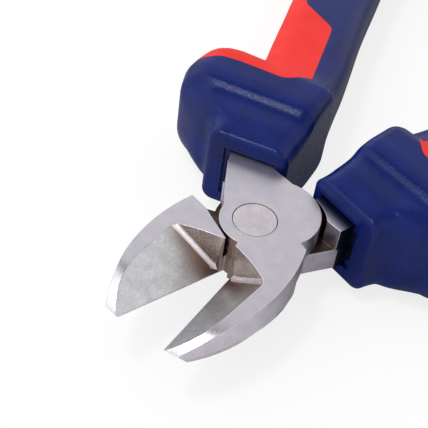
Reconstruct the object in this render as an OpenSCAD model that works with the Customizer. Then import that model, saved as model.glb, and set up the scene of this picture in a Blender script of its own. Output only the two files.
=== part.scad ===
// Diagonal cutting pliers with two-component grips, lying flat on their grips.
// Two crossed forged halves turn on a flush rivet. The jaws point to -Y and the
// grips to +Y. The origin is the centre of the rivet's lower face.
// Each half is drawn closed, with its jaw on the +X side and its grip on the -X
// side, around the lap plane of the joint, and is then turned open.

/* [Head] */
// Thickness of the head over both layers
head_t = 10; // [8:0.5:13]
// Diameter of the flush rivet
rivet_d = 8; // [6:0.25:9]
// Radius of the small round of each boss, about the rivet
boss_r = 6.3; // [6:0.1:6.6]
// Radius of the large round cheek behind the rivet
cheek_r = 8.1; // [7.8:0.1:8.3]
// Distance of the cheek's centre from the rivet towards the other half
cheek_x = 2.2; // [2:0.05:2.5]
// Distance of the cheek's centre behind the rivet
cheek_y = 3.9; // [3.6:0.1:4.2]
// Distance of the outer shoulder corner in front of the rivet
shoulder_y = 1.65; // [1.2:0.1:2.4]
// Distance of the lap shoulder in front of the rivet
lap_shoulder_y = 4.6; // [4.3:0.1:5.2]
// Distance from the rivet to the inner point of the lap shoulder
lap_point_y = 7; // [6.8:0.05:7.1]

/* [Jaws] */
// Half width of the closed head, at its widest
jaw_half_w = 11.3; // [10:0.1:13]
// Distance from the rivet to the widest point of the head
jaw_widest_y = 8; // [6:0.5:10]
// Distance from the rivet to the tip
jaw_reach = 30.6; // [28:0.2:36]
// Radius of the outer curve of the jaw
jaw_curve_r = 34; // [31:0.5:40]
// Distance from the rivet to the heel of the cutting edge
edge_heel_y = 7.8; // [7.7:0.1:8.5]
// Depth of the cutting edge's heel under the lap plane
edge_heel_depth = 3.4; // [2.4:0.1:4]
// Rise of the cutting edge towards the tip, in degrees
edge_rise = 12.6; // [8:0.2:14]
// Slope of the ground bevel, in degrees
bevel_slope = 43; // [38:1:50]
// Chord of the hollow ground bevel
bevel_chord = 11; // [8:0.5:14]
// Radius of the grinding wheel that hollows the bevel
bevel_wheel_r = 38; // [30:1:90]
// Width of the bevel at the throat, measured on the top face
throat_w = 7.7; // [7:0.1:8.5]
// Distance from the rivet to the front corner of the throat
throat_front_y = 11.6; // [11:0.1:13]
// Distance from the rivet to the back of the throat
throat_back_y = 7.4; // [7.3:0.1:7.8]
// Radius of the throat's milled wall
throat_wall_r = 28; // [24:1:40]
// Relief under the cutting edge, in degrees
relief_angle = 35; // [20:1:42]
// Height of the flat land under the cutting edge
edge_land = 0.2; // [0.1:0.05:0.5]
// Gap left between the two cutting edges when closed
edge_gap = 0.05; // [0.04:0.01:0.12]
// Distance from the rivet at which the top face starts to roll off
roll_y = 21; // [18:0.5:24]
// Radius of the roll-off on the top of the tip
roll_r = 16; // [14:0.5:24]
// Radius of the belly under the jaw
belly_r = 76; // [66:1:120]
// Distance by which the rolled surfaces pass the flat faces, so that they meet them at a small angle
roll_cross = 0.05; // [0.03:0.01:0.1]
// Width of the chamfer along the lower outer edge of the jaw
chamfer_w = 1.3; // [0.8:0.1:2]
// Height of that chamfer
chamfer_h = 2.6; // [1.5:0.1:3]

/* [Joint] */
// Angle between the halves as they lie, closed is zero
opening_angle = 18.2; // [8:0.2:30]
// Radial clearance of the rivet in the upper half
pivot_clearance = 0.03; // [0.01:0.01:0.08]
// Gap between the two lapped faces
lap_gap = 0.04; // [0.02:0.01:0.1]
// Gap between a cheek and the curved seat of the other half
cheek_gap = 0.3; // [0.2:0.05:0.5]
// Chamfer on each rivet face
rivet_chamfer = 0.12; // [0.05:0.01:0.3]

/* [Tang] */
// Width of the steel where it enters the grip
root_w = 11.6; // [10:0.2:12]
// Distance from the rivet to the outer corner of the root
root_y = 10; // [9.5:0.1:10.5]
// Width of the tang inside the grip
tang_w = 7.4; // [6:0.2:8]
// Thickness of the tang inside the grip
tang_t = 7; // [5:0.5:8]
// Share of the grip's length that the tang fills
tang_length_share = 0.7; // [0.5:0.05:0.8]
// Gap around the tang in its socket
tang_clearance = 0.05; // [0.02:0.01:0.15]

/* [Collar and guard] */
// Distance from the rivet to the front face of the collar, at its inner side
mouth_y = 13.9; // [13.7:0.1:15]
// Lean of the collar's front face, in degrees
mouth_lean = 6; // [3:0.5:12]
// Gap between the two closed collars
collar_gap = 1.6; // [1:0.1:3]
// Width of the collar's front face
collar_w = 15.8; // [15:0.2:18]
// Height of the collar's front face
collar_h = 17.2; // [15:0.2:19]
// Length of the collar and guard together
guard_l = 22.3; // [19:0.1:26]
// Width of the grip over the guard
guard_w = 28.9; // [25:0.1:33]
// Height of the grip over the guard
guard_h = 22.4; // [20:0.2:24]
// Depth of the stepped recess round the steel
recess_depth = 1.2; // [0.8:0.1:2]
// Gap between the recess and the faces of the steel
recess_gap = 0.6; // [0.3:0.1:0.8]
// Gap between the recess and the outer side of the steel
recess_side_gap = 1.5; // [0.6:0.1:1.8]

/* [Handle] */
// Distance from the rivet to the end of the grips
grip_end_y = 148; // [135:1:160]
// Width of the handle
handle_w = 17.8; // [15:0.2:20]
// Height of the handle
handle_h = 16; // [14:0.2:19]
// Distance that the handle bows out from the closing line
handle_bow = 12.6; // [9:0.2:15]
// Radius of the handle's long edges
handle_edge_r = 5.2; // [3.5:0.1:6]
// Radius of the edges of the collar
collar_edge_r = 2.2; // [1.5:0.1:2.6]
// Radius of the inner edge where the collar rises to the guard
ramp_edge_r = 4; // [2.8:0.1:4.6]
// Radius of the guard's outer edge
guard_edge_r = 6; // [4:0.1:6.5]
// Thickness of the soft inlay
inlay_t = 2; // [1.2:0.1:2.6]

/* [Hidden] */
$fn = 96;
corner_steps = 7;
overrun = 1;
half_t = head_t / 2;
layer_t = half_t - lap_gap / 2;
rest_half = opening_angle / 2;
rivet_r = rivet_d / 2;
least_r = inlay_t / 10;

// Head outline points
notch_x_share = 0.8;
notch_y_share = 0.24;
jaw_curve_x = jaw_half_w - jaw_curve_r;
// Points of the lap shoulder, as shares of the head's half width and the throat's distance
lap_corner_share = 0.61;
lap_bend_share = 0.47;
lap_bend_drop_share = 0.78;
// Outer line of the tang root, as shares of the root's width and the mouth's distance
root_line_shares = [[0.55, 0.04], [0.69, 0.25], [0.86, 0.58], [0.965, 0.77], [1, 0.88]];

// Throat wall: an arc through the front corner and the back of the throat
throat_front = [throat_w, -throat_front_y];
throat_back = [edge_gap, -throat_back_y];
throat_chord = norm(throat_front - throat_back);
throat_along = (throat_back - throat_front) / throat_chord;
throat_lift = sqrt(pow(throat_wall_r, 2) - pow(throat_chord / 2, 2));
throat_centre = (throat_front + throat_back) / 2 - [throat_along[1], -throat_along[0]] * throat_lift;

// Grip stations: place along the guard or the handle, and the sizes there
guard_end_y = mouth_y + guard_l;
handle_l = grip_end_y - guard_end_y;
inner_x = collar_gap / 2;
// The steel and its opening reach this near to the closing line
opening_x = inner_x + collar_edge_r;
// Columns: place, width from collar to guard, height from collar to guard, outer edge and inner edge from
// the collar's radius to their own, lean of the section
guard_shares = [[0, 0, 0, 0, 0, 1], [0.05, 0.02, 0.08, 0.1, 0.6, 0.98], [0.19, 0.16, 0.26, 0.6, 1, 0.9],
    [0.25, 0.38, 0.33, 1, 1, 0.84], [0.39, 0.72, 0.5, 1.25, 0.8, 0.72], [0.45, 0.84, 0.64, 1.25, 0.6, 0.66],
    [0.57, 0.97, 0.9, 1.15, 0.4, 0.5], [0.64, 1, 1, 1, 0.3, 0.4], [0.85, 0.95, 1, 0.95, 0.3, 0.15],
    [0.93, 0.82, 0.82, 0.9, 0.5, 0.05]];
// Columns: place, bow, width, height
handle_shares = [[0, 0.03, 1, 1.12], [0.06, 0.13, 0.98, 1], [0.12, 0.22, 1, 0.98], [0.2, 0.37, 1, 0.97],
    [0.3, 0.56, 1, 0.96], [0.42, 0.74, 0.98, 0.95], [0.55, 0.92, 0.97, 0.98], [0.66, 0.98, 1, 1.02],
    [0.78, 1, 1.02, 1.05], [0.87, 0.94, 0.98, 1.06]];
// The flared butt: place, bow, width, height up to the guard's height
butt_shares = [[0.92, 0.88, 1, 0.7], [0.945, 0.85, 1.04, 1], [0.975, 0.83, 1.03, 1], [1, 0.9, 0.84, 0.62]];
butt_edge_share = 0.8;
// Inlay along the guard's back: shares of the guard's width and length
inlay_guard_shares = [[1.2, 0.47], [0.93, 0.5], [0.85, 0.62], [0.8, 0.7], [0.675, 0.765], [0.47, 0.79],
    [0.34, 0.8], [0.255, 0.915], [0.2, 0.98]];
// Inlay along the handle: shares of its length and width
inlay_patch_shares = [[0.03, 0.33], [0.173, 0.35], [0.189, 0.365], [0.197, 0.433], [0.236, 0.79], [0.77, 0.86],
    [0.803, 1.01], [0.803, 1.4], [0.21, 1.4], [0.011, 1.9]];

function mix(low, high, share) = low + (high - low) * share;

// Front face of the collar, or a line behind it, at the given x
function mouth_line(x, behind) = mouth_y + behind / cos(mouth_lean) + (x + inner_x) * tan(mouth_lean);

// A grip station: [y, inner x, outer x, height, inner edge radius, outer edge radius, lean angle]
function guard_station(s) = [
    mouth_y + guard_l * s[0],
    -inner_x,
    -inner_x - mix(collar_w, guard_w, s[1]),
    mix(collar_h, guard_h, s[2]),
    mix(collar_edge_r, ramp_edge_r, s[4]),
    mix(collar_edge_r, guard_edge_r, s[3]),
    mouth_lean * s[5]
];
function handle_station(s) = [
    guard_end_y + handle_l * s[0],
    -inner_x - handle_bow * s[1],
    -inner_x - handle_bow * s[1] - handle_w * s[2],
    handle_h * s[3],
    handle_edge_r,
    handle_edge_r,
    0
];
function butt_station(s) = [
    guard_end_y + handle_l * s[0],
    -inner_x - handle_bow * s[1],
    -inner_x - handle_bow * s[1] - handle_w * s[2],
    mix(handle_h, guard_h, s[3]),
    handle_edge_r * butt_edge_share,
    handle_edge_r * butt_edge_share,
    0
];
stations = concat(
    [for (s = guard_shares) guard_station(s)],
    [for (s = handle_shares) handle_station(s)],
    [for (s = butt_shares) butt_station(s)]
);

// Middle line of the tang, which follows the handle's middle
tang_steps = 6;
function handle_mid(share) = [
    -inner_x - handle_bow * lookup(share, [for (s = handle_shares) [s[0], s[1]]])
        - handle_w / 2 * lookup(share, [for (s = handle_shares) [s[0], s[2]]]),
    guard_end_y + handle_l * share
];
root_x = -inner_x - collar_w / 2;
root_mid = [root_x, mouth_line(root_x, 0)];
tang_line = concat([root_mid], [for (i = [0:tang_steps]) handle_mid(tang_length_share * i / tang_steps)]);

// The two halves: as drawn closed, and turned to the rest pose
module turned_open() {
    rotate([0, 0, rest_half]) children();
}
module as_upper() {
    translate([0, 0, half_t]) turned_open() children();
}
module as_lower() {
    translate([0, 0, half_t]) mirror([1, 0, 0]) turned_open() children();
}

// Outline of the jaw in front of the given shoulder
module jaw_outline(shoulder) {
    intersection() {
        translate([jaw_curve_x, -jaw_widest_y]) circle(r = jaw_curve_r, $fn = 360);
        polygon(concat([[edge_gap / 2, -jaw_reach], [jaw_half_w, -jaw_reach]], shoulder));
    }
}

// Layer with the boss, the cheek and the root of the tang
module joint_outline() {
    jaw_outline([
        [jaw_half_w, -shoulder_y],
        [jaw_half_w * notch_x_share, -shoulder_y * notch_y_share],
        [edge_gap / 2, 0]
    ]);
    circle(r = boss_r);
    translate([cheek_x, cheek_y]) circle(r = cheek_r);
    polygon(concat(
        [[0, -boss_r * notch_y_share]],
        [for (s = root_line_shares) [-s[0] * root_w, s[1] * mouth_y]],
        [[-root_w, mouth_line(-root_w, recess_depth)], [-opening_x, mouth_line(-opening_x, recess_depth)]],
        [[-opening_x, mouth_y - cheek_gap], [cheek_x, cheek_y + cheek_r - cheek_gap]]
    ));
}

// Layer that makes room for the other half's boss and cheek
module lap_jaw_outline() {
    jaw_outline([
        [jaw_half_w, -lap_shoulder_y],
        [jaw_half_w * lap_corner_share, -lap_shoulder_y - cheek_gap],
        [jaw_half_w * lap_bend_share, -lap_point_y * lap_bend_drop_share],
        [edge_gap / 2, -lap_point_y]
    ]);
}
module lap_root_outline() {
    difference() {
        polygon([
            [-cheek_x - cheek_r * notch_x_share, root_y],
            [-root_w * root_line_shares[3][0], root_y],
            [-root_w, mouth_line(-root_w, 0)],
            [-root_w, mouth_line(-root_w, recess_depth)],
            [-opening_x, mouth_line(-opening_x, recess_depth)],
            [-opening_x, root_y]
        ]);
        translate([-cheek_x, cheek_y]) circle(r = cheek_r + cheek_gap);
    }
}

// Everything above the hollow ground bevel and in front of the throat wall
module bevel_cut() {
    half_chord = bevel_chord / 2;
    lift = sqrt(pow(bevel_wheel_r, 2) - pow(half_chord, 2));
    wheel_x = edge_gap / 2 + half_chord * cos(bevel_slope) - lift * sin(bevel_slope);
    wheel_z = half_chord * sin(bevel_slope) + lift * cos(bevel_slope);
    intersection() {
        translate([0, -edge_heel_y, -edge_heel_depth]) rotate([90 - edge_rise, 0, 0])
            translate([wheel_x, wheel_z, -edge_heel_y])
                cylinder(r = bevel_wheel_r, h = jaw_reach + 2 * edge_heel_y, $fn = 360);
        translate([throat_centre[0], throat_centre[1], -head_t])
            cylinder(r = throat_wall_r, h = 2 * head_t, $fn = 240);
    }
}

// Relief under the cutting edge
module relief_cut() {
    translate([edge_gap / 2, -edge_heel_y, -edge_heel_depth]) rotate([90 - edge_rise, 0, 0])
        translate([0, 0, -edge_heel_y]) linear_extrude(jaw_reach + 2 * edge_heel_y)
            polygon([
                [-overrun, -edge_land],
                [0, -edge_land],
                [head_t * tan(relief_angle), -edge_land - head_t],
                [-overrun, -edge_land - head_t]
            ]);
}

// Material above the roll-off of the tip
module tip_roll_cut() {
    difference() {
        translate([-overrun, -jaw_reach - overrun, 0])
            cube([jaw_half_w + 2 * overrun, jaw_reach - roll_y + overrun, head_t]);
        translate([-2 * overrun, -roll_y, half_t - roll_r + roll_cross]) rotate([0, 90, 0])
            cylinder(r = roll_r, h = jaw_half_w + 4 * overrun, $fn = 240);
    }
}

// Material under the belly of the jaw
module belly_cut() {
    difference() {
        translate([-overrun, -jaw_reach - overrun, -head_t])
            cube([jaw_half_w + 2 * overrun, jaw_reach - jaw_widest_y + overrun, head_t]);
        translate([-2 * overrun, -jaw_widest_y, belly_r - half_t - roll_cross]) rotate([0, 90, 0])
            cylinder(r = belly_r, h = jaw_half_w + 4 * overrun, $fn = 480);
    }
}

// Chamfer along the lower outer edge, which follows the belly
module edge_chamfer_cut() {
    belly_angle = asin((jaw_reach - jaw_widest_y) / 2 / belly_r);
    cone_h = head_t + chamfer_h;
    translate([0, -jaw_widest_y, -half_t]) rotate([-belly_angle, 0, 0]) difference() {
        translate([0, -jaw_reach, -head_t]) cube([2 * jaw_half_w, jaw_reach + jaw_widest_y, cone_h]);
        translate([jaw_curve_x, 0, -head_t - overrun])
            cylinder(r1 = jaw_curve_r - (cone_h + overrun) * chamfer_w / chamfer_h, r2 = jaw_curve_r,
                h = cone_h + overrun, $fn = 360);
    }
}

// The tang inside the grip, widened by the given gap for its socket
module tang_outline(gap) {
    half_w = tang_w / 2 + gap;
    last = len(tang_line) - 1;
    polygon(concat(
        [for (i = [0:last]) tang_line[i] + [-half_w, i == last ? gap : 0]],
        [for (i = [last:-1:0]) tang_line[i] + [half_w, i == last ? gap : 0]]
    ));
}
module tang(gap) {
    translate([0, 0, -tang_t / 2 - gap]) linear_extrude(tang_t + 2 * gap) tang_outline(gap);
}

// One forged half, drawn closed. Level 1 has its boss in the upper layer, level -1 in the lower
module boss_layer(level) {
    translate([0, 0, level > 0 ? lap_gap / 2 : -half_t]) linear_extrude(layer_t) children();
}
module lap_layer(level) {
    translate([0, 0, level > 0 ? -half_t : -lap_gap]) linear_extrude(half_t + lap_gap) children();
}
module forged_half(level, bore_r) {
    difference() {
        union() {
            boss_layer(level) joint_outline();
            lap_layer(level) lap_jaw_outline();
            lap_layer(level) lap_root_outline();
            tang(0);
        }
        translate([0, 0, -head_t]) cylinder(r = bore_r, h = 2 * head_t);
        bevel_cut();
        relief_cut();
        tip_roll_cut();
        belly_cut();
        edge_chamfer_cut();
    }
}

// Section of the grip at a station, thinner by the given inset, as points round its outline
function corner(x, y, z, r, from, lean) = [
    for (k = [0:corner_steps])
        let (turn = from + 90 * k / corner_steps, corner_x = x + r * cos(turn))
        [corner_x, y + (corner_x + inner_x) * tan(lean), z + r * sin(turn)]
];
function section(s, inset) =
    let (half_h = s[3] / 2 - inset, inner = s[1] - inset, outer = s[2] + inset)
    let (inner_r = max(s[4] - inset, least_r), outer_r = max(s[5] - inset, least_r))
    concat(
        corner(inner - inner_r, s[0], half_h - inner_r, inner_r, 0, s[6]),
        corner(outer + outer_r, s[0], half_h - outer_r, outer_r, 90, s[6]),
        corner(outer + outer_r, s[0], outer_r - half_h, outer_r, 180, s[6]),
        corner(inner - inner_r, s[0], inner_r - half_h, inner_r, 270, s[6])
    );
module grip_form(inset) {
    count = 4 * (corner_steps + 1);
    for (i = [0:len(stations) - 2]) hull() polyhedron(
        points = concat(section(stations[i], inset), section(stations[i + 1], inset)),
        faces = [[for (k = [0:count - 1]) k], [for (k = [0:count - 1]) 2 * count - 1 - k]]
    );
}

// Where the soft inlay lies: the guard's back, a patch on both faces and a strip down the outer side
function on_handle(s) = [
    -inner_x - handle_bow * lookup(s[0], [for (h = handle_shares) [h[0], h[1]]]) - handle_w * s[1],
    guard_end_y + handle_l * s[0]
];
module inlay_region() {
    translate([0, 0, -guard_h]) linear_extrude(2 * guard_h) polygon(concat(
        [for (s = inlay_guard_shares) [-inner_x - guard_w * s[0], mouth_y + guard_l * s[1]]],
        [for (s = inlay_patch_shares) on_handle(s)]
    ));
}

// Opening in the collar for the steel, with its stepped front recess and the socket for the tang
module steel_opening() {
    recess_h = head_t + 2 * recess_gap;
    recess_w = root_w + recess_side_gap - inner_x;
    translate([-inner_x, mouth_y, -recess_h / 2]) rotate([0, 0, mouth_lean])
        translate([-recess_w / cos(mouth_lean), -overrun, 0])
            cube([(recess_w - collar_edge_r) / cos(mouth_lean), recess_depth + overrun, recess_h]);
    tang(tang_clearance);
}

module grip_sleeve() {
    difference() {
        grip_form(0);
        steel_opening();
        intersection() {
            inlay_region();
            difference() {
                grip_form(-overrun);
                grip_form(inlay_t);
            }
        }
    }
}
module grip_inlay() {
    intersection() {
        inlay_region();
        difference() {
            grip_form(0);
            grip_form(inlay_t);
        }
    }
}

module upper_jaw_half() {
    color("silver") as_upper() forged_half(1, rivet_r + pivot_clearance);
}
module lower_jaw_half() {
    color("lightgray") as_lower() forged_half(-1, rivet_r);
}
module rivet() {
    color("gainsboro") translate([0, 0, half_t]) rotate_extrude() polygon([
        [0, -half_t],
        [rivet_r - rivet_chamfer, -half_t],
        [rivet_r, -half_t + rivet_chamfer],
        [rivet_r, half_t - rivet_chamfer],
        [rivet_r - rivet_chamfer, half_t],
        [0, half_t]
    ]);
}
module upper_grip_sleeve() {
    color("midnightblue") as_upper() grip_sleeve();
}
module upper_grip_inlay() {
    color("tomato") as_upper() grip_inlay();
}
module lower_grip_sleeve() {
    color("navy") as_lower() grip_sleeve();
}
module lower_grip_inlay() {
    color("orangered") as_lower() grip_inlay();
}

upper_jaw_half();
lower_jaw_half();
rivet();
upper_grip_sleeve();
upper_grip_inlay();
lower_grip_sleeve();
lower_grip_inlay();
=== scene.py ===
import math

import bmesh
import bpy
from mathutils import Matrix, Vector


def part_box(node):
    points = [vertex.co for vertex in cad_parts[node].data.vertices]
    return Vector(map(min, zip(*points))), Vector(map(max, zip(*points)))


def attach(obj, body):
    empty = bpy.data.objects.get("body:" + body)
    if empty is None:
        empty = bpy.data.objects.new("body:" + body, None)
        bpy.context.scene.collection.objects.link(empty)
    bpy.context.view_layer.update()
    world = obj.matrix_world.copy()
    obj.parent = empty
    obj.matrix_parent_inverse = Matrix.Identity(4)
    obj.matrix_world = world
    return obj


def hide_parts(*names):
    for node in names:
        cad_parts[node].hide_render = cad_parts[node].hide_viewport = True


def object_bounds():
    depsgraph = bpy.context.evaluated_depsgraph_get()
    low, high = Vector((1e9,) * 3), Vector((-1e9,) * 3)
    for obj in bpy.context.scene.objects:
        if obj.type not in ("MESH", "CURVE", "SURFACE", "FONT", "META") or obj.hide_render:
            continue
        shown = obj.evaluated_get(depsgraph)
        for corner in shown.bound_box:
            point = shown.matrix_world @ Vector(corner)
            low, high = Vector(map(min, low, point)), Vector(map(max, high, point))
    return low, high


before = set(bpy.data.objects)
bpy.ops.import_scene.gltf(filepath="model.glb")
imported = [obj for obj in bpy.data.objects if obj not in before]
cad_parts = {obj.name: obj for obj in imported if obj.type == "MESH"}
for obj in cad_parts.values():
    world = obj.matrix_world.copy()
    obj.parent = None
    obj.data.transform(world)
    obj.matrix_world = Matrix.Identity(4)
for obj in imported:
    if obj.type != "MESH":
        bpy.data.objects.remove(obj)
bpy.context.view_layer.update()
mm = 0.001
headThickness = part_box("rivet")[1].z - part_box("rivet")[0].z
print("frame loaded, head", round(headThickness / mm, 2), "mm thick")


# Small helpers
def linearColour(hexText):
    channels = [int(hexText[i:i + 2], 16) / 255 for i in (1, 3, 5)]
    return [c / 12.92 if c <= 0.04045 else ((c + 0.055) / 1.055) ** 2.4 for c in channels] + [1.0]


def addNode(tree, kind, settings=None, inputs=None, stops=None):
    node = tree.nodes.new(kind)
    for name, value in (settings or {}).items():
        setattr(node, name, value)
    for name, value in (inputs or {}).items():
        if isinstance(value, bpy.types.NodeSocket):
            tree.links.new(value, node.inputs[name])
        else:
            node.inputs[name].default_value = value
    if stops:
        # both ends of a colour ramp, each as place and colour
        for element, (place, colour) in zip(node.color_ramp.elements, stops):
            element.position, element.color = place, colour
    return node


def linkToScene(name, data):
    obj = bpy.data.objects.new(name, data)
    bpy.context.scene.collection.objects.link(obj)
    return obj


def bakedMesh(obj, name):
    bpy.context.view_layer.update()
    graph = bpy.context.evaluated_depsgraph_get()
    mesh = bpy.data.meshes.new_from_object(obj.evaluated_get(graph), depsgraph=graph)
    mesh.name = name
    return mesh


def removeObject(obj):
    mesh = obj.data
    bpy.data.objects.remove(obj)
    bpy.data.meshes.remove(mesh)


def smoothShading(mesh, sharpDegrees):
    mesh.polygons.foreach_set("use_smooth", [True] * len(mesh.polygons))
    mesh.set_sharp_from_angle(angle=math.radians(sharpDegrees))


def meshFrom(name, points, faces):
    mesh = bpy.data.meshes.new(name)
    mesh.from_pydata(points, [], faces)
    bm = bmesh.new()
    bm.from_mesh(mesh)
    bmesh.ops.recalc_face_normals(bm, faces=bm.faces[:])
    bm.to_mesh(mesh)
    bm.free()
    return mesh


# Each half is drawn closed, jaw on +X and grip on -X, and turned to the pose it lies in
pose = {"openingDegrees": 18.2, "lapPlane": headThickness / 2}


def placeOf(side):
    turn = Matrix.Rotation(math.radians(pose["openingDegrees"] / 2), 4, "Z")
    flip = Matrix.Diagonal((1 if side == "upper" else -1, 1, 1, 1))
    return Matrix.Translation((0, 0, pose["lapPlane"])) @ flip @ turn


def putHalf(mesh, side):
    mesh.transform(placeOf(side))
    if side == "lower":
        mesh.flip_normals()
    mesh.update()


# Materials
def newMaterial(name):
    material = bpy.data.materials.new(name)
    material.use_nodes = True
    tree = material.node_tree
    tree.nodes.clear()
    shader = addNode(tree, "ShaderNodeBsdfPrincipled")
    addNode(tree, "ShaderNodeOutputMaterial", inputs={"Surface": shader.outputs[0]})
    place = addNode(tree, "ShaderNodeTexCoord").outputs["Object"]
    return material, tree, shader, place


def paintBetween(tree, along, start, end, near, far):
    # goes from one colour to the other between two places in mm, and gives the share of the second too
    share = addNode(tree, "ShaderNodeMapRange", {"interpolation_type": "SMOOTHSTEP"}, {
        "Value": along, "From Min": start * mm, "From Max": end * mm}).outputs[0]
    mixed = addNode(tree, "ShaderNodeMix", {"data_type": "RGBA"}, {0: share, 6: near, 7: far})
    return mixed.outputs[2], share


def finishShader(tree, shader, colour, roughness, bump):
    tree.links.new(colour, shader.inputs["Base Color"])
    tree.links.new(roughness, shader.inputs["Roughness"])
    tree.links.new(bump, shader.inputs["Normal"])


# Tool steel. What the real faces are, and what each gives the eye:
# flat and root: surface ground, satin with faint pink and blue clouds; near its mouth the root carries a
# painted reflection of the blue grip and painted shade
# bevel: hollow ground by a wheel, finely dotted; darker and browner toward its heel, painted shade and a
# painted brown reflection
# tip: polished roll-off, mirrors the lamps with a mottled edge; ridge: worn bright line
# side: brushed walls; throat and pivot: milled and turned, glossy, their warm brown a painted reflection, the
# pivot darker with painted shade; lap: steel of the joint, painted dark brown as shade
# skin: the root's outer side in the mouth, painted dark navy as shade and as a reflection of the blue collar;
# rivet: ground with the head, a little speckled
# Real grain is near 0.05 mm, too fine to show, so grainMm draws it coarser. Colours are sRGB, lengths mm
steelFinish = {
    "flat": {"colour": "#DAD3DA", "shade": "#CECCD8", "roughness": 0.4, "grainMm": 0.25, "grainDepth": 0.12},
    "bevel": {"colour": "#DCDCE0", "shade": "#CECED1", "roughness": 0.38, "grainMm": 0.17, "grainDepth": 0.24,
              "lineStretch": 4, "heelPaintedShade": "#8F7567", "heelFrom": -14.0, "heelTo": -8.0},
    "tip": {"colour": "#DEDCE2", "shade": "#CCC8D0", "roughness": 0.27, "grainMm": 0.2, "grainDepth": 0.05,
            "fadeFrom": 10.0, "fadeTo": 9.6},
    "ridge": {"colour": "#F6F2F5", "shade": "#ECE4E6", "roughness": 0.42, "grainMm": 0.3, "grainDepth": 0.05},
    "side": {"colour": "#CBC4CE", "shade": "#BDB6BF", "roughness": 0.34, "grainMm": 0.3, "grainDepth": 0.1,
             "lineStretch": 8},
    # throat down to pivot: painted reflections and painted shade in their colours, as said above
    "throat": {"colour": "#CDC0BA", "shade": "#B5A79D", "roughness": 0.26, "grainMm": 0.3, "grainDepth": 0.08},
    "skin": {"colour": "#1B233F", "shade": "#12182D", "roughness": 0.42, "grainMm": 0.4, "grainDepth": 0.2},
    "root": {"colour": "#DAD3DA", "shade": "#CECCD8", "roughness": 0.4, "grainMm": 0.25, "grainDepth": 0.1,
             "mouthPaintedReflection": "#2D3962", "mouthLean": 15.1, "mouthFrom": 11.2, "mouthTo": 13.5},
    "lap": {"colour": "#66574D", "shade": "#41342C", "roughness": 0.36, "grainMm": 0.3, "grainDepth": 0.2},
    "pivot": {"colour": "#A8948A", "shade": "#8C786D", "roughness": 0.3, "grainMm": 0.3, "grainDepth": 0.12},
    "rivet": {"colour": "#E2DBE1", "shade": "#D4CDD4", "roughness": 0.38, "grainMm": 0.35, "grainDepth": 0.15},
    "cloudMm": 2.4, "cloudDetail": 3, "cloudFrom": 0.35, "cloudTo": 0.65,
    "grainDetail": 2, "grainFrom": 0.3, "grainTo": 0.7, "glossFrom": 0.25, "glossTo": 0.75, "glossSpread": 0.05,
    "bumpMm": 0.008, "bumpStrength": 0.3,
}


def groundSteel(name, finish):
    shared, flat = steelFinish, steelFinish["flat"]
    material, tree, shader, place = newMaterial(name)
    clouds = addNode(tree, "ShaderNodeTexNoise", inputs={
        "Vector": place, "Scale": 1 / (shared["cloudMm"] * mm), "Detail": shared["cloudDetail"]}).outputs["Fac"]
    tint = addNode(tree, "ShaderNodeValToRGB", inputs={"Fac": clouds}, stops=[
        (shared["cloudFrom"], linearColour(finish["shade"])),
        (shared["cloudTo"], linearColour(finish["colour"]))]).outputs[0]
    # the grain is drawn out into short lines where the wheel or the belt ran
    across = 1 / finish.get("lineStretch", 1)
    lined = addNode(tree, "ShaderNodeMapping", inputs={
        "Vector": place, "Scale": (1, across, across)}).outputs[0]
    grain = addNode(tree, "ShaderNodeTexNoise", inputs={
        "Vector": lined, "Scale": 1 / (finish["grainMm"] * mm), "Detail": shared["grainDetail"]}).outputs["Fac"]
    darkest = 1 - finish["grainDepth"]
    mottle = addNode(tree, "ShaderNodeValToRGB", inputs={"Fac": grain}, stops=[
        (shared["grainFrom"], (darkest, darkest, darkest, 1)), (shared["grainTo"], (1, 1, 1, 1))]).outputs[0]
    colour = addNode(tree, "ShaderNodeMix", {"data_type": "RGBA", "blend_type": "MULTIPLY"},
                     {0: 1.0, 6: tint, 7: mottle}).outputs[2]
    roughness = addNode(tree, "ShaderNodeMapRange", inputs={
        "Value": grain, "From Min": shared["glossFrom"], "From Max": shared["glossTo"],
        "To Min": finish["roughness"] - shared["glossSpread"],
        "To Max": finish["roughness"] + shared["glossSpread"]}).outputs[0]
    if "fadeFrom" in finish:
        # the polish comes in over the first of the roll-off, from the satin of the flat
        height = addNode(tree, "ShaderNodeSeparateXYZ", inputs={0: place}).outputs["Z"]
        colour, polish = paintBetween(tree, height, finish["fadeFrom"], finish["fadeTo"],
                                      linearColour(flat["colour"]), colour)
        satin = addNode(tree, "ShaderNodeMix", inputs={
            0: polish, 2: flat["roughness"] - finish["roughness"], 3: 0.0}).outputs[0]
        roughness = addNode(tree, "ShaderNodeMath", inputs={0: roughness, 1: satin}).outputs[0]
    if "mouthPaintedReflection" in finish:
        # painted reflection and painted shade: near the grip's mouth the steel is painted the dark blue of the
        # plastic; without its sign, x serves both halves
        lean = math.radians(finish["mouthLean"])
        sided = addNode(tree, "ShaderNodeVectorMath", {"operation": "ABSOLUTE"}, {0: place}).outputs[0]
        toMouth = addNode(tree, "ShaderNodeVectorMath", {"operation": "DOT_PRODUCT"},
                          {0: sided, 1: (math.sin(lean), math.cos(lean), 0)}).outputs["Value"]
        colour, _ = paintBetween(tree, toMouth, finish["mouthFrom"], finish["mouthTo"],
                                 colour, linearColour(finish["mouthPaintedReflection"]))
    if "heelPaintedShade" in finish:
        # painted shade and a painted brown reflection: the bevel turns darker and browner toward its heel
        along = addNode(tree, "ShaderNodeSeparateXYZ", inputs={0: place}).outputs["Y"]
        colour, _ = paintBetween(tree, along, finish["heelFrom"], finish["heelTo"],
                                 colour, linearColour(finish["heelPaintedShade"]))
    bump = addNode(tree, "ShaderNodeBump", inputs={
        "Height": grain, "Strength": shared["bumpStrength"], "Distance": shared["bumpMm"] * mm}).outputs[0]
    shader.inputs["Metallic"].default_value = 1.0
    finishShader(tree, shader, colour, roughness, bump)
    return material


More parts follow.
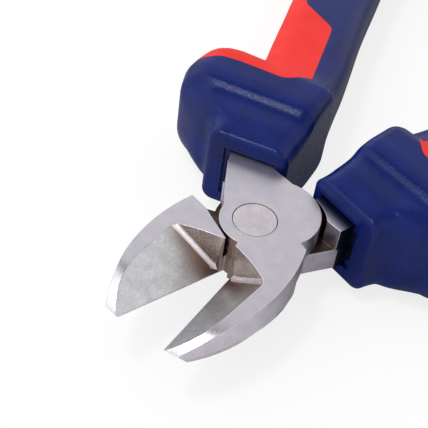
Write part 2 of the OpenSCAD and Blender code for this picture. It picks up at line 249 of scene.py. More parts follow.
steelNames = {
    "flat": "surfaceGroundSteel", "bevel": "hollowGroundSteel", "tip": "polishedTipSteel",
    "ridge": "polishedRidgeSteel", "side": "brushedSideSteel", "throat": "milledThroatSteel",
    "skin": "paintedShadeMouthSteel", "root": "shadedRootSteel", "lap": "lapSteelPaintedShade", "pivot": "turnedPivotSteel",
    "rivet": "groundRivetSteel",
}
steel = {kind: groundSteel(name, steelFinish[kind]) for kind, name in steelNames.items()}
finishOrder = list(steel)

# Moulded grips. Navy is hard polypropylene from a spark-eroded mould: its gloss breaks into fine speckles.
# Red is a soft elastomer, duller and smoother. The real spark texture is near 0.1 mm, too fine to show,
# so sparkMm draws it coarser
gripFinish = {
    "navy": {"colour": "#0C1E63", "shade": "#0A1A58", "roughness": 0.27, "gloss": 0.18, "bump": 1.0},
    "red": {"colour": "#E8312C", "shade": "#E12C27", "roughness": 0.55, "gloss": 0.2, "bump": 0.35},
    "skinMm": 6.0, "skinFrom": 0.4, "skinTo": 0.6,
    "sparkMm": 0.42, "sparkDetail": 3, "sparkRoughness": 0.65, "sparkFrom": 0.3, "sparkTo": 0.7,
    "sparkBumpMm": 0.05, "glossSpread": 0.1,
}


def mouldedGrip(name, finish):
    shared = gripFinish
    material, tree, shader, place = newMaterial(name)
    skin = addNode(tree, "ShaderNodeTexNoise", inputs={
        "Vector": place, "Scale": 1 / (shared["skinMm"] * mm)}).outputs["Fac"]
    colour = addNode(tree, "ShaderNodeValToRGB", inputs={"Fac": skin}, stops=[
        (shared["skinFrom"], linearColour(finish["shade"])),
        (shared["skinTo"], linearColour(finish["colour"]))]).outputs[0]
    spark = addNode(tree, "ShaderNodeTexNoise", inputs={
        "Vector": place, "Scale": 1 / (shared["sparkMm"] * mm), "Detail": shared["sparkDetail"],
        "Roughness": shared["sparkRoughness"]}).outputs["Fac"]
    roughness = addNode(tree, "ShaderNodeMapRange", inputs={
        "Value": spark, "From Min": shared["sparkFrom"], "From Max": shared["sparkTo"],
        "To Min": finish["roughness"] - shared["glossSpread"],
        "To Max": finish["roughness"] + shared["glossSpread"]}).outputs[0]
    bump = addNode(tree, "ShaderNodeBump", inputs={
        "Height": spark, "Strength": finish["bump"], "Distance": shared["sparkBumpMm"] * mm}).outputs[0]
    shader.inputs["Specular IOR Level"].default_value = finish["gloss"]
    finishShader(tree, shader, colour, roughness, bump)
    return material


navyPlastic = mouldedGrip("navyPolypropylene", gripFinish["navy"])
redElastomer = mouldedGrip("redElastomer", gripFinish["red"])
print("materials made")

# Forged halves: copies of the solids with broken edges, a finish for each kind of face
jaw = {"edgeBreak": 0.09 * mm, "edgeSegments": 2, "ridgeBreak": 0.66 * mm, "ridgeSegments": 4,
       "sharpDegrees": 24, "smoothDegrees": 30, "flatDegrees": 0.5, "weldDistance": 0.0005 * mm,
       "ridgeProfile": 0.5, "normalMatch": 0.97, "holeRadius": 4.3 * mm,
       "nosePoint": (0, -30.6 * mm, 2.0 * mm), "noseNormal": (0, -0.828, -0.56)}
# where one kind of face ends and the next begins, on a half drawn closed
border = {"bevelY": -6 * mm, "rollY": -20.9 * mm, "throatFrontY": -11.9 * mm, "throatBackY": -6.5 * mm,
          "throatX": 8 * mm, "mouthShadeX": -8.6 * mm, "mouthShadeY": 10.5 * mm, "landX": 0.4 * mm, "landY": -6.5 * mm,
          "rootY": 8 * mm, "shoulderY": 12.9 * mm, "lapHigh": 0.5 * mm,
          "pivotReach": 7.5 * mm, "pivotY": -4 * mm}
# how much of a face's normal has to lie along an axis
facing = {"flat": 0.93, "shoulder": 0.9, "land": 0.8, "pivot": 0.6, "tip": 0.5, "rootWall": 0.5,
          "bevel": 0.35, "bevelLow": 0.3, "bevelHigh": 0.95, "skin": 0.3, "throat": 0.2}
# the two round surfaces of a jaw, drawn closed: the tip's roll-off and the wheel that hollowed the bevel
roll = {"y": -21 * mm, "z": -10.95 * mm}
wheel = {"x": 0.025 * mm, "y": -7.8 * mm, "z": -3.4 * mm, "radius": 38 * mm, "chord": 11 * mm,
         "slope": 43, "rise": 12.6}


def forgedMesh(nodeName):
    bm = bmesh.new()
    bm.from_mesh(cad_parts[nodeName].data)
    bmesh.ops.remove_doubles(bm, verts=bm.verts[:], dist=jaw["weldDistance"])
    bmesh.ops.dissolve_limit(bm, angle_limit=math.radians(jaw["flatDegrees"]), verts=bm.verts[:],
                             edges=bm.edges[:], delimit={"NORMAL"})
    return bm


def slantNose(bm, place):
    # the end of the nose is ground back on a slant under the tip
    point = place @ Vector(jaw["nosePoint"])
    normal = place.to_3x3() @ Vector(jaw["noseNormal"])
    cut = bmesh.ops.bisect_plane(bm, geom=bm.verts[:] + bm.edges[:] + bm.faces[:], plane_co=point,
                                 plane_no=normal.normalized(), clear_outer=True)
    rim = [edge for edge in cut["geom_cut"] if isinstance(edge, bmesh.types.BMEdge)]
    bmesh.ops.contextual_create(bm, geom=rim)
    bmesh.ops.recalc_face_normals(bm, faces=bm.faces[:])


def faceFinish(centre, normal):
    b, f = border, facing
    if (centre.y < b["bevelY"] and centre.x > 0 and normal.x < -f["bevel"]
            and f["bevelLow"] < normal.z < f["bevelHigh"]):
        return "bevel"
    if centre.y < b["rollY"] and normal.z > f["tip"]:
        return "tip"
    # skin is painted shade and a painted reflection of the blue collar, on faces in the grip's mouth
    if centre.y > b["shoulderY"] and normal.y < -f["shoulder"]:
        return "skin"
    if abs(normal.z) > f["flat"]:
        # lap faces in the joint, and forward root walls below, are painted dark brown as shade
        if abs(centre.z) < b["lapHigh"]:
            return "lap"
        return "root" if centre.y > b["rootY"] else "flat"
    if abs(centre.x) < b["landX"] and centre.y < b["landY"] and normal.x < -f["land"]:
        return "ridge"
    if centre.x < b["mouthShadeX"] and centre.y > b["mouthShadeY"] and normal.x < -f["skin"]:
        return "skin"
    if centre.y > b["rootY"] and centre.x > b["mouthShadeX"] and normal.y < -f["rootWall"]:
        return "lap"
    if centre.xy.length < b["pivotReach"] and centre.y < b["pivotY"] and normal.y < -f["pivot"]:
        return "pivot"
    if b["throatFrontY"] < centre.y < b["throatBackY"] and centre.x < b["throatX"] and normal.y < -f["throat"]:
        return "throat"
    return "side"


def isSharp(edge):
    return len(edge.link_faces) == 2 and edge.calc_face_angle() > math.radians(jaw["sharpDegrees"])


def breakRidge(bm):
    # the ridge between bevel and throat is broken most, and polished by use
    ends = {finishOrder.index("bevel"), finishOrder.index("throat")}
    ridge = [e for e in bm.edges if isSharp(e) and {f.material_index for f in e.link_faces} == ends]
    made = bmesh.ops.bevel(bm, geom=ridge, offset=jaw["ridgeBreak"], offset_type="OFFSET",
                           segments=jaw["ridgeSegments"], profile=jaw["ridgeProfile"], affect="EDGES",
                           clamp_overlap=False)
    for face in made["faces"]:
        face.material_index = finishOrder.index("ridge")


def weighEdges(bm):
    weights = bm.edges.layers.float.new("bevel_weight_edge")
    for edge in bm.edges:
        middle = (edge.verts[0].co + edge.verts[1].co) / 2
        if isSharp(edge) and middle.xy.length > jaw["holeRadius"]:
            edge[weights] = 1.0


def wheelAxis():
    slope, half = math.radians(wheel["slope"]), wheel["chord"] / 2
    lift = math.sqrt(wheel["radius"] ** 2 - half ** 2)
    across = wheel["x"] + half * math.cos(slope) - lift * math.sin(slope)
    above = half * math.sin(slope) + lift * math.cos(slope)
    turn = Matrix.Rotation(math.radians(90 - wheel["rise"]), 3, "X")
    return Vector((0, wheel["y"], wheel["z"])) + turn @ Vector((across, above, 0)), turn @ Vector((0, 0, 1))


def exactNormal(kind, point, plain):
    if kind == "tip":
        found = Vector((0, min(point.y - roll["y"], 0), point.z - roll["z"]))
    elif kind == "bevel":
        start, along = wheelAxis()
        out = start - point
        found = out - along * out.dot(along)
    else:
        return plain
    found.normalize()
    return found if found.dot(plain) > jaw["normalMatch"] else plain


def shadeRoundFaces(mesh, back):
    # round faces take the normals of the true cylinders, so their gloss runs without facets
    turnBack = back.to_3x3()
    turn = turnBack.inverted()
    normals = [corner.vector.copy() for corner in mesh.corner_normals]
    for face in mesh.polygons:
        kind = finishOrder[face.material_index]
        for index in face.loop_indices:
            point = back @ mesh.vertices[mesh.loops[index].vertex_index].co
            normals[index] = turn @ exactNormal(kind, point, turnBack @ normals[index])
    mesh.normals_split_custom_set(normals)


def forgedHalf(side):
    nodeName = side + "_jaw_half"
    back = placeOf(side).inverted()
    turnBack = back.to_3x3()
    bm = forgedMesh(nodeName)
    slantNose(bm, placeOf(side))
    for face in bm.faces:
        kind = faceFinish(back @ face.calc_center_median(), turnBack @ face.normal)
        face.material_index = finishOrder.index(kind)
    breakRidge(bm)
    weighEdges(bm)
    raw = bpy.data.meshes.new(nodeName + "Forged")
    bm.to_mesh(raw)
    bm.free()
    for finish in steel.values():
        raw.materials.append(finish)
    smoothShading(raw, jaw["smoothDegrees"])
    obj = linkToScene(side + "JawHalf", raw)
    bevel = obj.modifiers.new("edgeBreak", "BEVEL")
    bevel.width = jaw["edgeBreak"]
    bevel.segments = jaw["edgeSegments"]
    bevel.limit_method = "WEIGHT"
    bevel.use_clamp_overlap = False
    obj.modifiers.new("evenFaces", "WEIGHTED_NORMAL").keep_sharp = True
    mesh = bakedMesh(obj, side + "JawHalf")
    removeObject(obj)
    shadeRoundFaces(mesh, back)
    piece = linkToScene(side + "JawHalf", mesh)
    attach(piece, side + "_half")
    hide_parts(nodeName)


for side in ("upper", "lower"):
    forgedHalf(side)
print("forged halves dressed")

# Rivet: turned pin with a broken edge, its faces ground flush with the head
rivet = {"radius": 3.89 * mm, "chamfer": 0.05 * mm, "sides": 128, "rings": 5, "smoothDegrees": 30}


def rivetTree():
    tree = bpy.data.node_groups.new("turnedRivet", "GeometryNodeTree")
    tree.interface.new_socket("Geometry", in_out="OUTPUT", socket_type="NodeSocketGeometry")
    for name in ("Radius", "Length", "Chamfer"):
        tree.interface.new_socket(name, in_out="INPUT", socket_type="NodeSocketFloat")
    tree.interface.new_socket("Finish", in_out="INPUT", socket_type="NodeSocketMaterial")
    given = addNode(tree, "NodeGroupInput").outputs
    turned = addNode(tree, "GeometryNodeMeshCylinder", {"fill_type": "NGON"}, {
        "Vertices": rivet["sides"], "Side Segments": rivet["rings"], "Radius": given["Radius"],
        "Depth": given["Length"]})
    position = addNode(tree, "GeometryNodeInputPosition").outputs[0]
    place = addNode(tree, "ShaderNodeSeparateXYZ", inputs={0: position}).outputs
    height = addNode(tree, "ShaderNodeMath", {"operation": "ABSOLUTE"}, {0: place["Z"]}).outputs[0]
    halfLength = addNode(tree, "ShaderNodeMath", {"operation": "MULTIPLY"}, {
        0: given["Length"], 1: 0.5}).outputs[0]
    quarterLength = addNode(tree, "ShaderNodeMath", {"operation": "MULTIPLY"}, {
        0: halfLength, 1: 0.5}).outputs[0]
    chamferStart = addNode(tree, "ShaderNodeMath", {"operation": "SUBTRACT"}, {
        0: halfLength, 1: given["Chamfer"]}).outputs[0]
    # the ring next to each end moves out to the foot of the chamfer
    belowChamfer = addNode(tree, "ShaderNodeMath", {"operation": "LESS_THAN"}, {
        0: height, 1: chamferStart}).outputs[0]
    outerRing = addNode(tree, "ShaderNodeMath", {"operation": "GREATER_THAN"}, {
        0: height, 1: quarterLength}).outputs[0]
    nextToEnd = addNode(tree, "ShaderNodeMath", {"operation": "MULTIPLY"}, {
        0: belowChamfer, 1: outerRing}).outputs[0]
    upOrDown = addNode(tree, "ShaderNodeMath", {"operation": "SIGN"}, {0: place["Z"]}).outputs[0]
    gap = addNode(tree, "ShaderNodeMath", {"operation": "SUBTRACT"}, {0: chamferStart, 1: height}).outputs[0]
    rise = addNode(tree, "ShaderNodeMath", {"operation": "MULTIPLY"}, {0: upOrDown, 1: gap}).outputs[0]
    moved = addNode(tree, "GeometryNodeSetPosition", inputs={
        "Geometry": turned.outputs["Mesh"], "Selection": nextToEnd,
        "Offset": addNode(tree, "ShaderNodeCombineXYZ", inputs={"Z": rise}).outputs[0]})
    # the end rings are drawn in by the chamfer
    atEnd = addNode(tree, "ShaderNodeMath", {"operation": "GREATER_THAN"}, {
        0: height, 1: chamferStart}).outputs[0]
    share = addNode(tree, "ShaderNodeMath", {"operation": "DIVIDE"}, {
        0: given["Chamfer"], 1: given["Radius"]}).outputs[0]
    inward = addNode(tree, "ShaderNodeMath", {"operation": "MULTIPLY"}, {0: share, 1: -1.0}).outputs[0]
    flat = addNode(tree, "ShaderNodeCombineXYZ", inputs={"X": place["X"], "Y": place["Y"]}).outputs[0]
    pulled = addNode(tree, "ShaderNodeVectorMath", {"operation": "SCALE"}, {
        0: flat, "Scale": inward}).outputs[0]
    chamfered = addNode(tree, "GeometryNodeSetPosition", inputs={
        "Geometry": moved.outputs[0], "Selection": atEnd, "Offset": pulled})
    real = addNode(tree, "GeometryNodeRealizeInstances", inputs={"Geometry": chamfered.outputs[0]})
    done = addNode(tree, "GeometryNodeSetMaterial", inputs={
        "Geometry": real.outputs[0], "Material": given["Finish"]})
    addNode(tree, "NodeGroupOutput", inputs={"Geometry": done.outputs[0]})
    return tree


def turnedRivet():
    obj = linkToScene("rivetMaking", bpy.data.meshes.new("rivetMaking"))
    tree = rivetTree()
    modifier = obj.modifiers.new("turned", "NODES")
    modifier.node_group = tree
    values = {"Radius": rivet["radius"], "Length": headThickness, "Chamfer": rivet["chamfer"],
              "Finish": steel["rivet"]}
    for item in tree.interface.items_tree:
        if item.in_out == "INPUT":
            modifier[item.identifier] = values[item.name]
    mesh = bakedMesh(obj, "rivetPin")
    removeObject(obj)
    mesh.transform(Matrix.Translation((0, 0, pose["lapPlane"])))
    smoothShading(mesh, rivet["smoothDegrees"])
    piece = linkToScene("rivetPin", mesh)
    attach(piece, "lower_half")
    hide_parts("rivet")


turnedRivet()
print("rivet turned")

# Grip form: stations along the sleeve, as the solids have them, joined by smooth curves
grip = {
    "mouthY": 13.9, "mouthLean": 6.0, "guardLength": 22.3, "endY": 148, "innerX": 0.8,
    "collarWidth": 15.8, "collarHeight": 17.2, "guardWidth": 28.9, "guardHeight": 22.4,
    "handleWidth": 17.8, "handleHeight": 16, "handleBow": 12.55,
    "collarEdge": 2.2, "rampEdge": 4, "guardEdge": 6, "handleEdge": 5.2, "buttEdge": 4.2,
    "lipRadius": 1.0, "buttRadius": 3.2, "rings": 150, "ringBunching": 1.5, "roundSteps": 6,
    "cornerSteps": 10, "sideSteps": 8, "leastRadius": 0.2, "smoothDegrees": 40,
}
# place, width, height, outer edge and inner edge from the collar's size to their own, lean of the section
guardShares = [
    [0, 0, 0, 0, 0, 1], [0.05, 0.02, 0.08, 0.1, 0.6, 0.98], [0.19, 0.16, 0.26, 0.6, 1, 0.9],
    [0.25, 0.38, 0.33, 1, 1, 0.84], [0.39, 0.72, 0.41, 1.25, 0.8, 0.72], [0.45, 0.84, 0.54, 1.25, 0.6, 0.66],
    [0.5, 0.92, 0.85, 1.2, 0.5, 0.6], [0.57, 0.97, 0.96, 1.15, 0.4, 0.5], [0.64, 1, 1, 1, 0.3, 0.4],
    [0.85, 0.95, 1, 0.95, 0.3, 0.15], [0.93, 0.82, 0.82, 0.9, 0.5, 0.05],
]
# place, bow, width, height
handleShares = [
    [0, 0.03, 1, 1.12], [0.06, 0.13, 0.98, 1], [0.12, 0.22, 1, 0.98], [0.2, 0.37, 1, 0.97],
    [0.3, 0.56, 1, 0.96], [0.42, 0.74, 0.98, 0.95], [0.55, 0.92, 0.97, 0.98], [0.66, 0.98, 1, 1.02],
    [0.78, 1, 1.02, 1.05], [0.87, 0.94, 0.98, 1.06],
]
# place, bow, width, height up to the guard's
buttShares = [[0.92, 0.88, 1, 0.7], [0.945, 0.85, 1.04, 1], [0.975, 0.83, 1.03, 1], [1, 0.9, 0.84, 0.62]]
guardEnd = grip["mouthY"] + grip["guardLength"]
handleLength = grip["endY"] - guardEnd


def blend(low, high, share):
    return low + (high - low) * share


def gripStations():
    g = grip
    rows = []
    for place, width, height, outerEdge, innerEdge, lean in guardShares:
        rows.append([g["mouthY"] + g["guardLength"] * place, -g["innerX"],
                     -g["innerX"] - blend(g["collarWidth"], g["guardWidth"], width),
                     blend(g["collarHeight"], g["guardHeight"], height),
                     blend(g["collarEdge"], g["rampEdge"], innerEdge),
                     blend(g["collarEdge"], g["guardEdge"], outerEdge), g["mouthLean"] * lean])
    for place, bow, width, height in handleShares:
        inner = -g["innerX"] - g["handleBow"] * bow
        rows.append([guardEnd + handleLength * place, inner, inner - g["handleWidth"] * width,
                     g["handleHeight"] * height, g["handleEdge"], g["handleEdge"], 0])
    for place, bow, width, height in buttShares:
        inner = -g["innerX"] - g["handleBow"] * bow
        rows.append([guardEnd + handleLength * place, inner, inner - g["handleWidth"] * width,
                     blend(g["handleHeight"], g["guardHeight"], height), g["buttEdge"], g["buttEdge"], 0])
    return rows


def curveThrough(places, values):
    # monotone cubic, so that the form swells only where the stations do
    steps = [(values[i + 1] - values[i]) / (places[i + 1] - places[i]) for i in range(len(places) - 1)]
    slopes = [steps[0]]
    for i in range(1, len(steps)):
        if steps[i - 1] * steps[i] <= 0:
            slopes.append(0.0)
        else:
            before, after = places[i] - places[i - 1], places[i + 1] - places[i]
            w1, w2 = 2 * after + before, after + 2 * before
            slopes.append((w1 + w2) / (w1 / steps[i - 1] + w2 / steps[i]))
    slopes.append(steps[-1])

    def at(place):
        i = max(0, min(len(places) - 2, sum(1 for p in places[1:-1] if p <= place)))
        span = places[i + 1] - places[i]
        t = (place - places[i]) / span
        return ((2 * t ** 3 - 3 * t ** 2 + 1) * values[i] + (t ** 3 - 2 * t ** 2 + t) * span * slopes[i]
                + (3 * t ** 2 - 2 * t ** 3) * values[i + 1] + (t ** 3 - t ** 2) * span * slopes[i + 1])
    return at


rows = gripStations()
stationCurves = [curveThrough([row[0] for row in rows], [row[k] for row in rows]) for k in range(1, 7)]


def ringPoints(y, station, inset):
    inner, outer, height, innerR, outerR, lean = station
    lean = math.tan(math.radians(lean))
    inner, outer, half = inner - inset, outer + inset, height / 2 - inset
    innerR, outerR = (max(r - inset, grip["leastRadius"]) for r in (innerR, outerR))
    outline = []
    corners = [(inner - innerR, half - innerR, innerR, 0), (outer + outerR, half - outerR, outerR, 90),
               (outer + outerR, outerR - half, outerR, 180), (inner - innerR, innerR - half, innerR, 270)]
    for x, z, r, start in corners:
        arc = []
        for k in range(grip["cornerSteps"] + 1):
            a = math.radians(start + 90 * k / grip["cornerSteps"])
            arc.append((x + r * math.cos(a), z + r * math.sin(a)))
        if outline:
            outline += sideRun(outline[-1], arc[0])
        outline += arc
    outline += sideRun(outline[-1], outline[0])
    return [Vector((x * mm, (y + (x + grip["innerX"]) * lean) * mm, z * mm)) for x, z in outline]


def sideRun(start, end):
    steps = grip["sideSteps"]
    return [(blend(start[0], end[0], k / steps), blend(start[1], end[1], k / steps)) for k in range(1, steps)]


def gripForm(name, inset=0.0):
    # rings from the rounded lip at the mouth to the rounded butt, closer together near the guard
    first, last = rows[0][0] + inset, rows[-1][0] - inset
    lip, butt = grip["lipRadius"], grip["buttRadius"]
    turns = [math.radians(90 * k / grip["roundSteps"]) for k in range(grip["roundSteps"] + 1)]
    rings = [(first + lip * (1 - math.cos(a)), lip * (1 - math.sin(a))) for a in turns]
    count = grip["rings"]
    span = last - butt - (first + lip)
    for k in range(1, count):
        rings.append((first + lip + span * (k / count) ** grip["ringBunching"], 0.0))
    rings += [(last - butt + butt * math.sin(a), butt * (1 - math.cos(a))) for a in turns]
    points, faces = [], []
    for y, shrink in rings:
        station = [curve(min(max(y, rows[0][0]), rows[-1][0])) for curve in stationCurves]
        points += ringPoints(y, station, inset + shrink)
    around = len(points) // len(rings)
    for i in range(len(rings) - 1):
        for k in range(around):
            n = (k + 1) % around
            here, after = i * around, (i + 1) * around
            faces.append((here + k, here + n, after + n, after + k))
    faces.append(tuple(range(around)))
    faces.append(tuple(range(len(points) - around, len(points))))
    return linkToScene(name, meshFrom(name, points, faces))


def prism(name, outline, low, high):
    count = len(outline)
    points = [Vector((x * mm, y * mm, z * mm)) for z in (low, high) for x, y in outline]
    faces = [tuple(range(count)), tuple(range(count, 2 * count))]
    faces += [(k, (k + 1) % count, count + (k + 1) % count, count + k) for k in range(count)]
    return linkToScene(name, meshFrom(name, points, faces))


def roundedOutline(points, radius, steps):
    # each corner becomes a curve that starts and ends before the middle of its sides
    outline = []
    count = len(points)
    for i in range(count):
        before, here, after = (Vector(points[(i + d) % count]) for d in (-1, 0, 1))
        u, v = (before - here), (after - here)
        reach = min(radius, u.length * inlay["mostOfSide"], v.length * inlay["mostOfSide"])
        start, end = here + u.normalized() * reach, here + v.normalized() * reach
        for k in range(steps + 1):
            t = k / steps
            outline.append(tuple((1 - t) ** 2 * start + 2 * t * (1 - t) * here + t ** 2 * end))
    return outline


def combine(obj, other, operation):
    modifier = obj.modifiers.new(operation.lower(), "BOOLEAN")
    modifier.operation = operation
    modifier.solver = "EXACT"
    modifier.object = other
    mesh = bakedMesh(obj, obj.name)
    obj.modifiers.clear()
    old = obj.data
    obj.data = mesh
    bpy.data.meshes.remove(old)
    return obj


# Soft inlay: along the guard's back rim, a patch on both faces and a strip down the outer side
inlay = {"thickness": 2.0, "cornerRadius": 1.6, "cornerSteps": 5, "mostOfSide": 0.45, "reach": 20}
# shares of the guard's width and length, then of the handle's length and width
inlayGuardShares = [[1.2, 0.66], [0.93, 0.66], [0.87, 0.68], [0.8, 0.73], [0.675, 0.76], [0.47, 0.77],
                    [0.34, 0.775], [0.255, 0.88], [0.2, 0.95]]
inlayPatchShares = [[0.03, 0.33], [0.173, 0.35], [0.189, 0.365], [0.197, 0.433], [0.236, 0.79],
                    [0.77, 0.86], [0.803, 1.01], [0.803, 1.4], [0.21, 1.4], [0.011, 1.9]]


def inlayOutline():
    g = grip
    points = [(-g["innerX"] - g["guardWidth"] * across, g["mouthY"] + g["guardLength"] * along)
              for across, along in inlayGuardShares]
    bowAt = curveThrough([share[0] for share in handleShares], [share[1] for share in handleShares])
    for along, across in inlayPatchShares:
        bow = bowAt(min(along, handleShares[-1][0]))
        points.append((-g["innerX"] - g["handleBow"] * bow - g["handleWidth"] * across,
                       guardEnd + handleLength * along))
    return roundedOutline(points, inlay["cornerRadius"], inlay["cornerSteps"])


# Opening for the steel: a shallow recess in the front face, deeper in a gap over and under the steel
opening = {"outer": 12.3, "inner": 2.2, "halfHeight": 5.6, "depth": 0.5, "reach": 1.5,
           "gapFrom": 4.9, "gapDepth": 2.2, "gapOuter": 11.4}
# The tang's socket runs down the handle's middle in straight steps, as the solids have it
socket = {"tangWidth": 7.4, "tangHeight": 7, "gap": 0.05, "bow": 12.6, "lengthShare": 0.7, "steps": 6}


def between(shares, column, at):
    for low, high in zip(shares, shares[1:]):
        if low[0] <= at <= high[0]:
            return blend(low[column], high[column], (at - low[0]) / (high[0] - low[0]))


def tangCut():
    g = grip
    rootX = -g["innerX"] - g["collarWidth"] / 2
    rootY = g["mouthY"] - g["collarWidth"] / 2 * math.tan(math.radians(g["mouthLean"]))
    line = [(rootX, rootY - opening["reach"]), (rootX, rootY)]
    for step in range(socket["steps"] + 1):
        share = socket["lengthShare"] * step / socket["steps"]
        bow, width = between(handleShares, 1, share), between(handleShares, 2, share)
        line.append((-g["innerX"] - socket["bow"] * bow - g["handleWidth"] / 2 * width,
                     guardEnd + handleLength * share))
    line[-1] = (line[-1][0], line[-1][1] + socket["gap"])
    half, high = socket["tangWidth"] / 2 + socket["gap"], socket["tangHeight"] / 2 + socket["gap"]
    outline = [(x - half, y) for x, y in line] + [(x + half, y) for x, y in reversed(line)]
    return prism("tangCut", outline, -high, high)


def mouthCut(outer, depth, low, high):
    inner, reach = opening["inner"], opening["reach"]
    outline = [(-outer, -reach), (-inner, -reach), (-inner, depth), (-outer, depth)]
    cut = prism("mouthCut", outline, low, high)
    lean = Matrix.Rotation(math.radians(grip["mouthLean"]), 4, "Z")
    cut.data.transform(Matrix.Translation((-grip["innerX"] * mm, grip["mouthY"] * mm, 0)) @ lean)
    return cut


def gripPieces():
    sleeve = gripForm("sleeveMaking")
    core = gripForm("coreMaking", inlay["thickness"])
    region = prism("regionMaking", inlayOutline(), -inlay["reach"], inlay["reach"])
    soft = gripForm("inlayMaking")
    soft = combine(soft, region, "INTERSECT")
    soft = combine(soft, core, "DIFFERENCE")
    pocket = combine(region, core, "DIFFERENCE")
    sleeve = combine(sleeve, pocket, "DIFFERENCE")
    o = opening
    cuts = [mouthCut(o["outer"], o["depth"], -o["halfHeight"], o["halfHeight"])]
    cuts += [mouthCut(o["gapOuter"], o["gapDepth"], low, low + o["halfHeight"] - o["gapFrom"])
             for low in (-o["halfHeight"], o["gapFrom"])]
    cuts.append(tangCut())
    for cut in cuts:
        sleeve = combine(sleeve, cut, "DIFFERENCE")
    for obj in [core, pocket] + cuts:
        removeObject(obj)
    return sleeve, soft


def dressGrips():
    sleeve, soft = gripPieces()
    for obj, nodeEnd, finish, slotName in ((sleeve, "grip_sleeve", navyPlastic, "grip_plastic"),
                                           (soft, "grip_inlay", redElastomer, "soft_inlay")):
        for side in ("upper", "lower"):
            mesh = obj.data.copy()
            mesh.name = side + nodeEnd.title().replace("_", "")
            mesh.materials.clear()
            mesh.materials.append(finish)
            putHalf(mesh, side)
            smoothShading(mesh, grip["smoothDegrees"])
            piece = linkToScene(mesh.name, mesh)
            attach(piece, side + "_half")
            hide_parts(side + "_" + nodeEnd)
        removeObject(obj)


dressGrips()
print("grips moulded")

# Camera: the photograph's view, a long lens from the front right, slightly rolled
camera = {"azimuth": 32.18, "elevation": 45.16, "roll": 8.34, "focusPixels": 1000, "pixelsPerMm": 5.78,
          "aimHeight": 10 * mm, "offsetX": 41.02, "offsetY": 5.6, "sensorMm": 36, "framePixels": 428,
          "clipStart": 0.01, "clipEnd": 20}


def makeCamera():
    az, el, roll = (math.radians(camera[k]) for k in ("azimuth", "elevation", "roll"))
    forward = Vector((-math.sin(az) * math.cos(el), math.cos(az) * math.cos(el), -math.sin(el)))
    right = Vector((math.cos(az), math.sin(az), 0))
    up = right.cross(forward)
    rolledRight = right * math.cos(roll) + up * math.sin(roll)
    rolledUp = up * math.cos(roll) - right * math.sin(roll)
    perPixel = mm / camera["pixelsPerMm"]
    distance = camera["focusPixels"] * perPixel
    place = (Vector((0, 0, camera["aimHeight"])) - forward * distance
             - rolledRight * perPixel * camera["offsetX"] + rolledUp * perPixel * camera["offsetY"])
    data = bpy.data.cameras.new("photoCamera")
    data.sensor_width = camera["sensorMm"]
    data.lens = camera["sensorMm"] * camera["focusPixels"] / camera["framePixels"]
    data.clip_start, data.clip_end = camera["clipStart"], camera["clipEnd"]
    obj = linkToScene("photoCamera", data)
    turn = Matrix((rolledRight, rolledUp, -forward)).transposed().to_4x4()
    obj.matrix_world = Matrix.Translation(place) @ turn
    bpy.context.scene.camera = obj


makeCamera()

# Studio: a white table that keeps a light shadow, an overhead lamp, two soft fills and a pale surround
studio = {"tableReach": 3.0, "tableGap": 0.05 * mm, "tableColour": "#F4F4F4", "tableRoughness": 0.9,
          "tableGlow": 0.8, "tableInMetal": 0.1, "tableShade": 0.6, "shadeFrom": -0.015, "shadeTo": 0.02,
          "surround": 0.95, "rightShade": 0.85, "rightFrom": 0.1, "rightTo": 0.9,
          "lowGloss": 1.05, "highGloss": 0.2, "ceilingFrom": 0.74, "ceilingTo": 0.86}
lamps = [
    {"name": "overheadLamp", "place": (-0.14, -0.20, 0.70), "size": (0.12, 0.06), "power": 1.4},
    {"name": "frontLamp", "place": (-0.12, -0.33, 0.66), "size": (0.12, 0.17), "power": 0.4},
    {"name": "leftLamp", "place": (-0.40, -0.22, 0.59), "size": (0.36, 0.3), "power": 0.4},
]


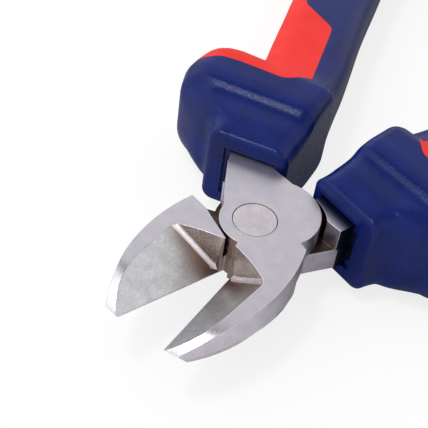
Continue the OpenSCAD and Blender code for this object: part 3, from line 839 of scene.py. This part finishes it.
def makeTable():
    reach, z = studio["tableReach"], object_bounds()[0].z - studio["tableGap"]
    corners = [Vector((x * reach, y * reach, z)) for x, y in ((-1, -1), (1, -1), (1, 1), (-1, 1))]
    table = linkToScene("table", meshFrom("table", corners, [(0, 1, 2, 3)]))
    # matt painted board: the camera sees it nearly evenly white, with the tool's shadow kept
    material, tree, shader, place = newMaterial("whiteTableBoard")
    shader.inputs["Base Color"].default_value = linearColour(studio["tableColour"])
    shader.inputs["Roughness"].default_value = studio["tableRoughness"]
    glow = addNode(tree, "ShaderNodeEmission", inputs={"Strength": 1.0})
    path = addNode(tree, "ShaderNodeLightPath").outputs
    inMetal = addNode(tree, "ShaderNodeMath", {"operation": "MULTIPLY"}, {
        0: path["Is Glossy Ray"], 1: studio["tableInMetal"]}).outputs[0]
    seen = addNode(tree, "ShaderNodeMath", {"operation": "MULTIPLY_ADD"}, {
        0: path["Is Camera Ray"], 1: studio["tableGlow"], 2: inMetal}).outputs[0]
    lit = addNode(tree, "ShaderNodeMixShader", inputs={0: seen, 1: shader.outputs[0], 2: glow.outputs[0]})
    # between the grips the board mirrors darker, as it does in the photograph
    # painted shade in reflections only: glossy rays see the board darker behind the tool, at larger y
    along = addNode(tree, "ShaderNodeSeparateXYZ", inputs={0: place}).outputs["Y"]
    paintedShadeBehind = addNode(tree, "ShaderNodeMapRange", {"interpolation_type": "SMOOTHSTEP"}, {
        "Value": along, "From Min": studio["shadeFrom"], "From Max": studio["shadeTo"],
        "To Max": studio["tableShade"]}).outputs[0]
    dark = addNode(tree, "ShaderNodeMath", {"operation": "MULTIPLY"}, {
        0: path["Is Glossy Ray"], 1: paintedShadeBehind}).outputs[0]
    black = addNode(tree, "ShaderNodeEmission", inputs={"Strength": 0.0})
    shaded = addNode(tree, "ShaderNodeMixShader", inputs={0: dark, 1: lit.outputs[0], 2: black.outputs[0]})
    tree.links.new(shaded.outputs[0], tree.nodes["Material Output"].inputs["Surface"])
    table.data.materials.append(material)


def makeSurround():
    world = bpy.data.worlds.new("paleStudio")
    bpy.context.scene.world = world
    world.use_nodes = True
    tree = world.node_tree
    tree.nodes.clear()
    path = addNode(tree, "ShaderNodeLightPath").outputs
    outward = addNode(tree, "ShaderNodeTexCoord").outputs["Object"]
    direction = addNode(tree, "ShaderNodeSeparateXYZ", inputs={0: outward}).outputs
    # gloss finds the walls bright and the ceiling dim, and matt faces find the right side dim
    gloss = addNode(tree, "ShaderNodeMapRange", inputs={
        "Value": direction["Z"], "From Min": studio["ceilingFrom"], "From Max": studio["ceilingTo"],
        "To Min": studio["lowGloss"], "To Max": studio["highGloss"]}).outputs[0]
    soft = addNode(tree, "ShaderNodeMapRange", {"interpolation_type": "SMOOTHSTEP"}, {
        "Value": direction["X"], "From Min": studio["rightFrom"], "From Max": studio["rightTo"],
        "To Min": studio["surround"], "To Max": studio["surround"] * (1 - studio["rightShade"])}).outputs[0]
    onObject = addNode(tree, "ShaderNodeMix", inputs={0: path["Is Glossy Ray"], 2: soft, 3: gloss}).outputs[0]
    strength = addNode(tree, "ShaderNodeMix", inputs={0: path["Is Camera Ray"], 2: onObject, 3: 1.0}).outputs[0]
    glow = addNode(tree, "ShaderNodeBackground", inputs={"Color": (1, 1, 1, 1), "Strength": strength})
    addNode(tree, "ShaderNodeOutputWorld", inputs={"Surface": glow.outputs[0]})


def makeLamp(spec):
    data = bpy.data.lights.new(spec["name"], "AREA")
    data.shape = "RECTANGLE"
    data.size, data.size_y = spec["size"]
    data.energy = spec["power"]
    lamp = linkToScene(spec["name"], data)
    lamp.location = spec["place"]
    lamp.rotation_mode = "QUATERNION"
    lamp.rotation_quaternion = (-Vector(spec["place"])).to_track_quat("-Z", "Y")


makeTable()
makeSurround()
for spec in lamps:
    makeLamp(spec)
bpy.context.scene.view_settings.view_transform = "Standard"
print("studio set")
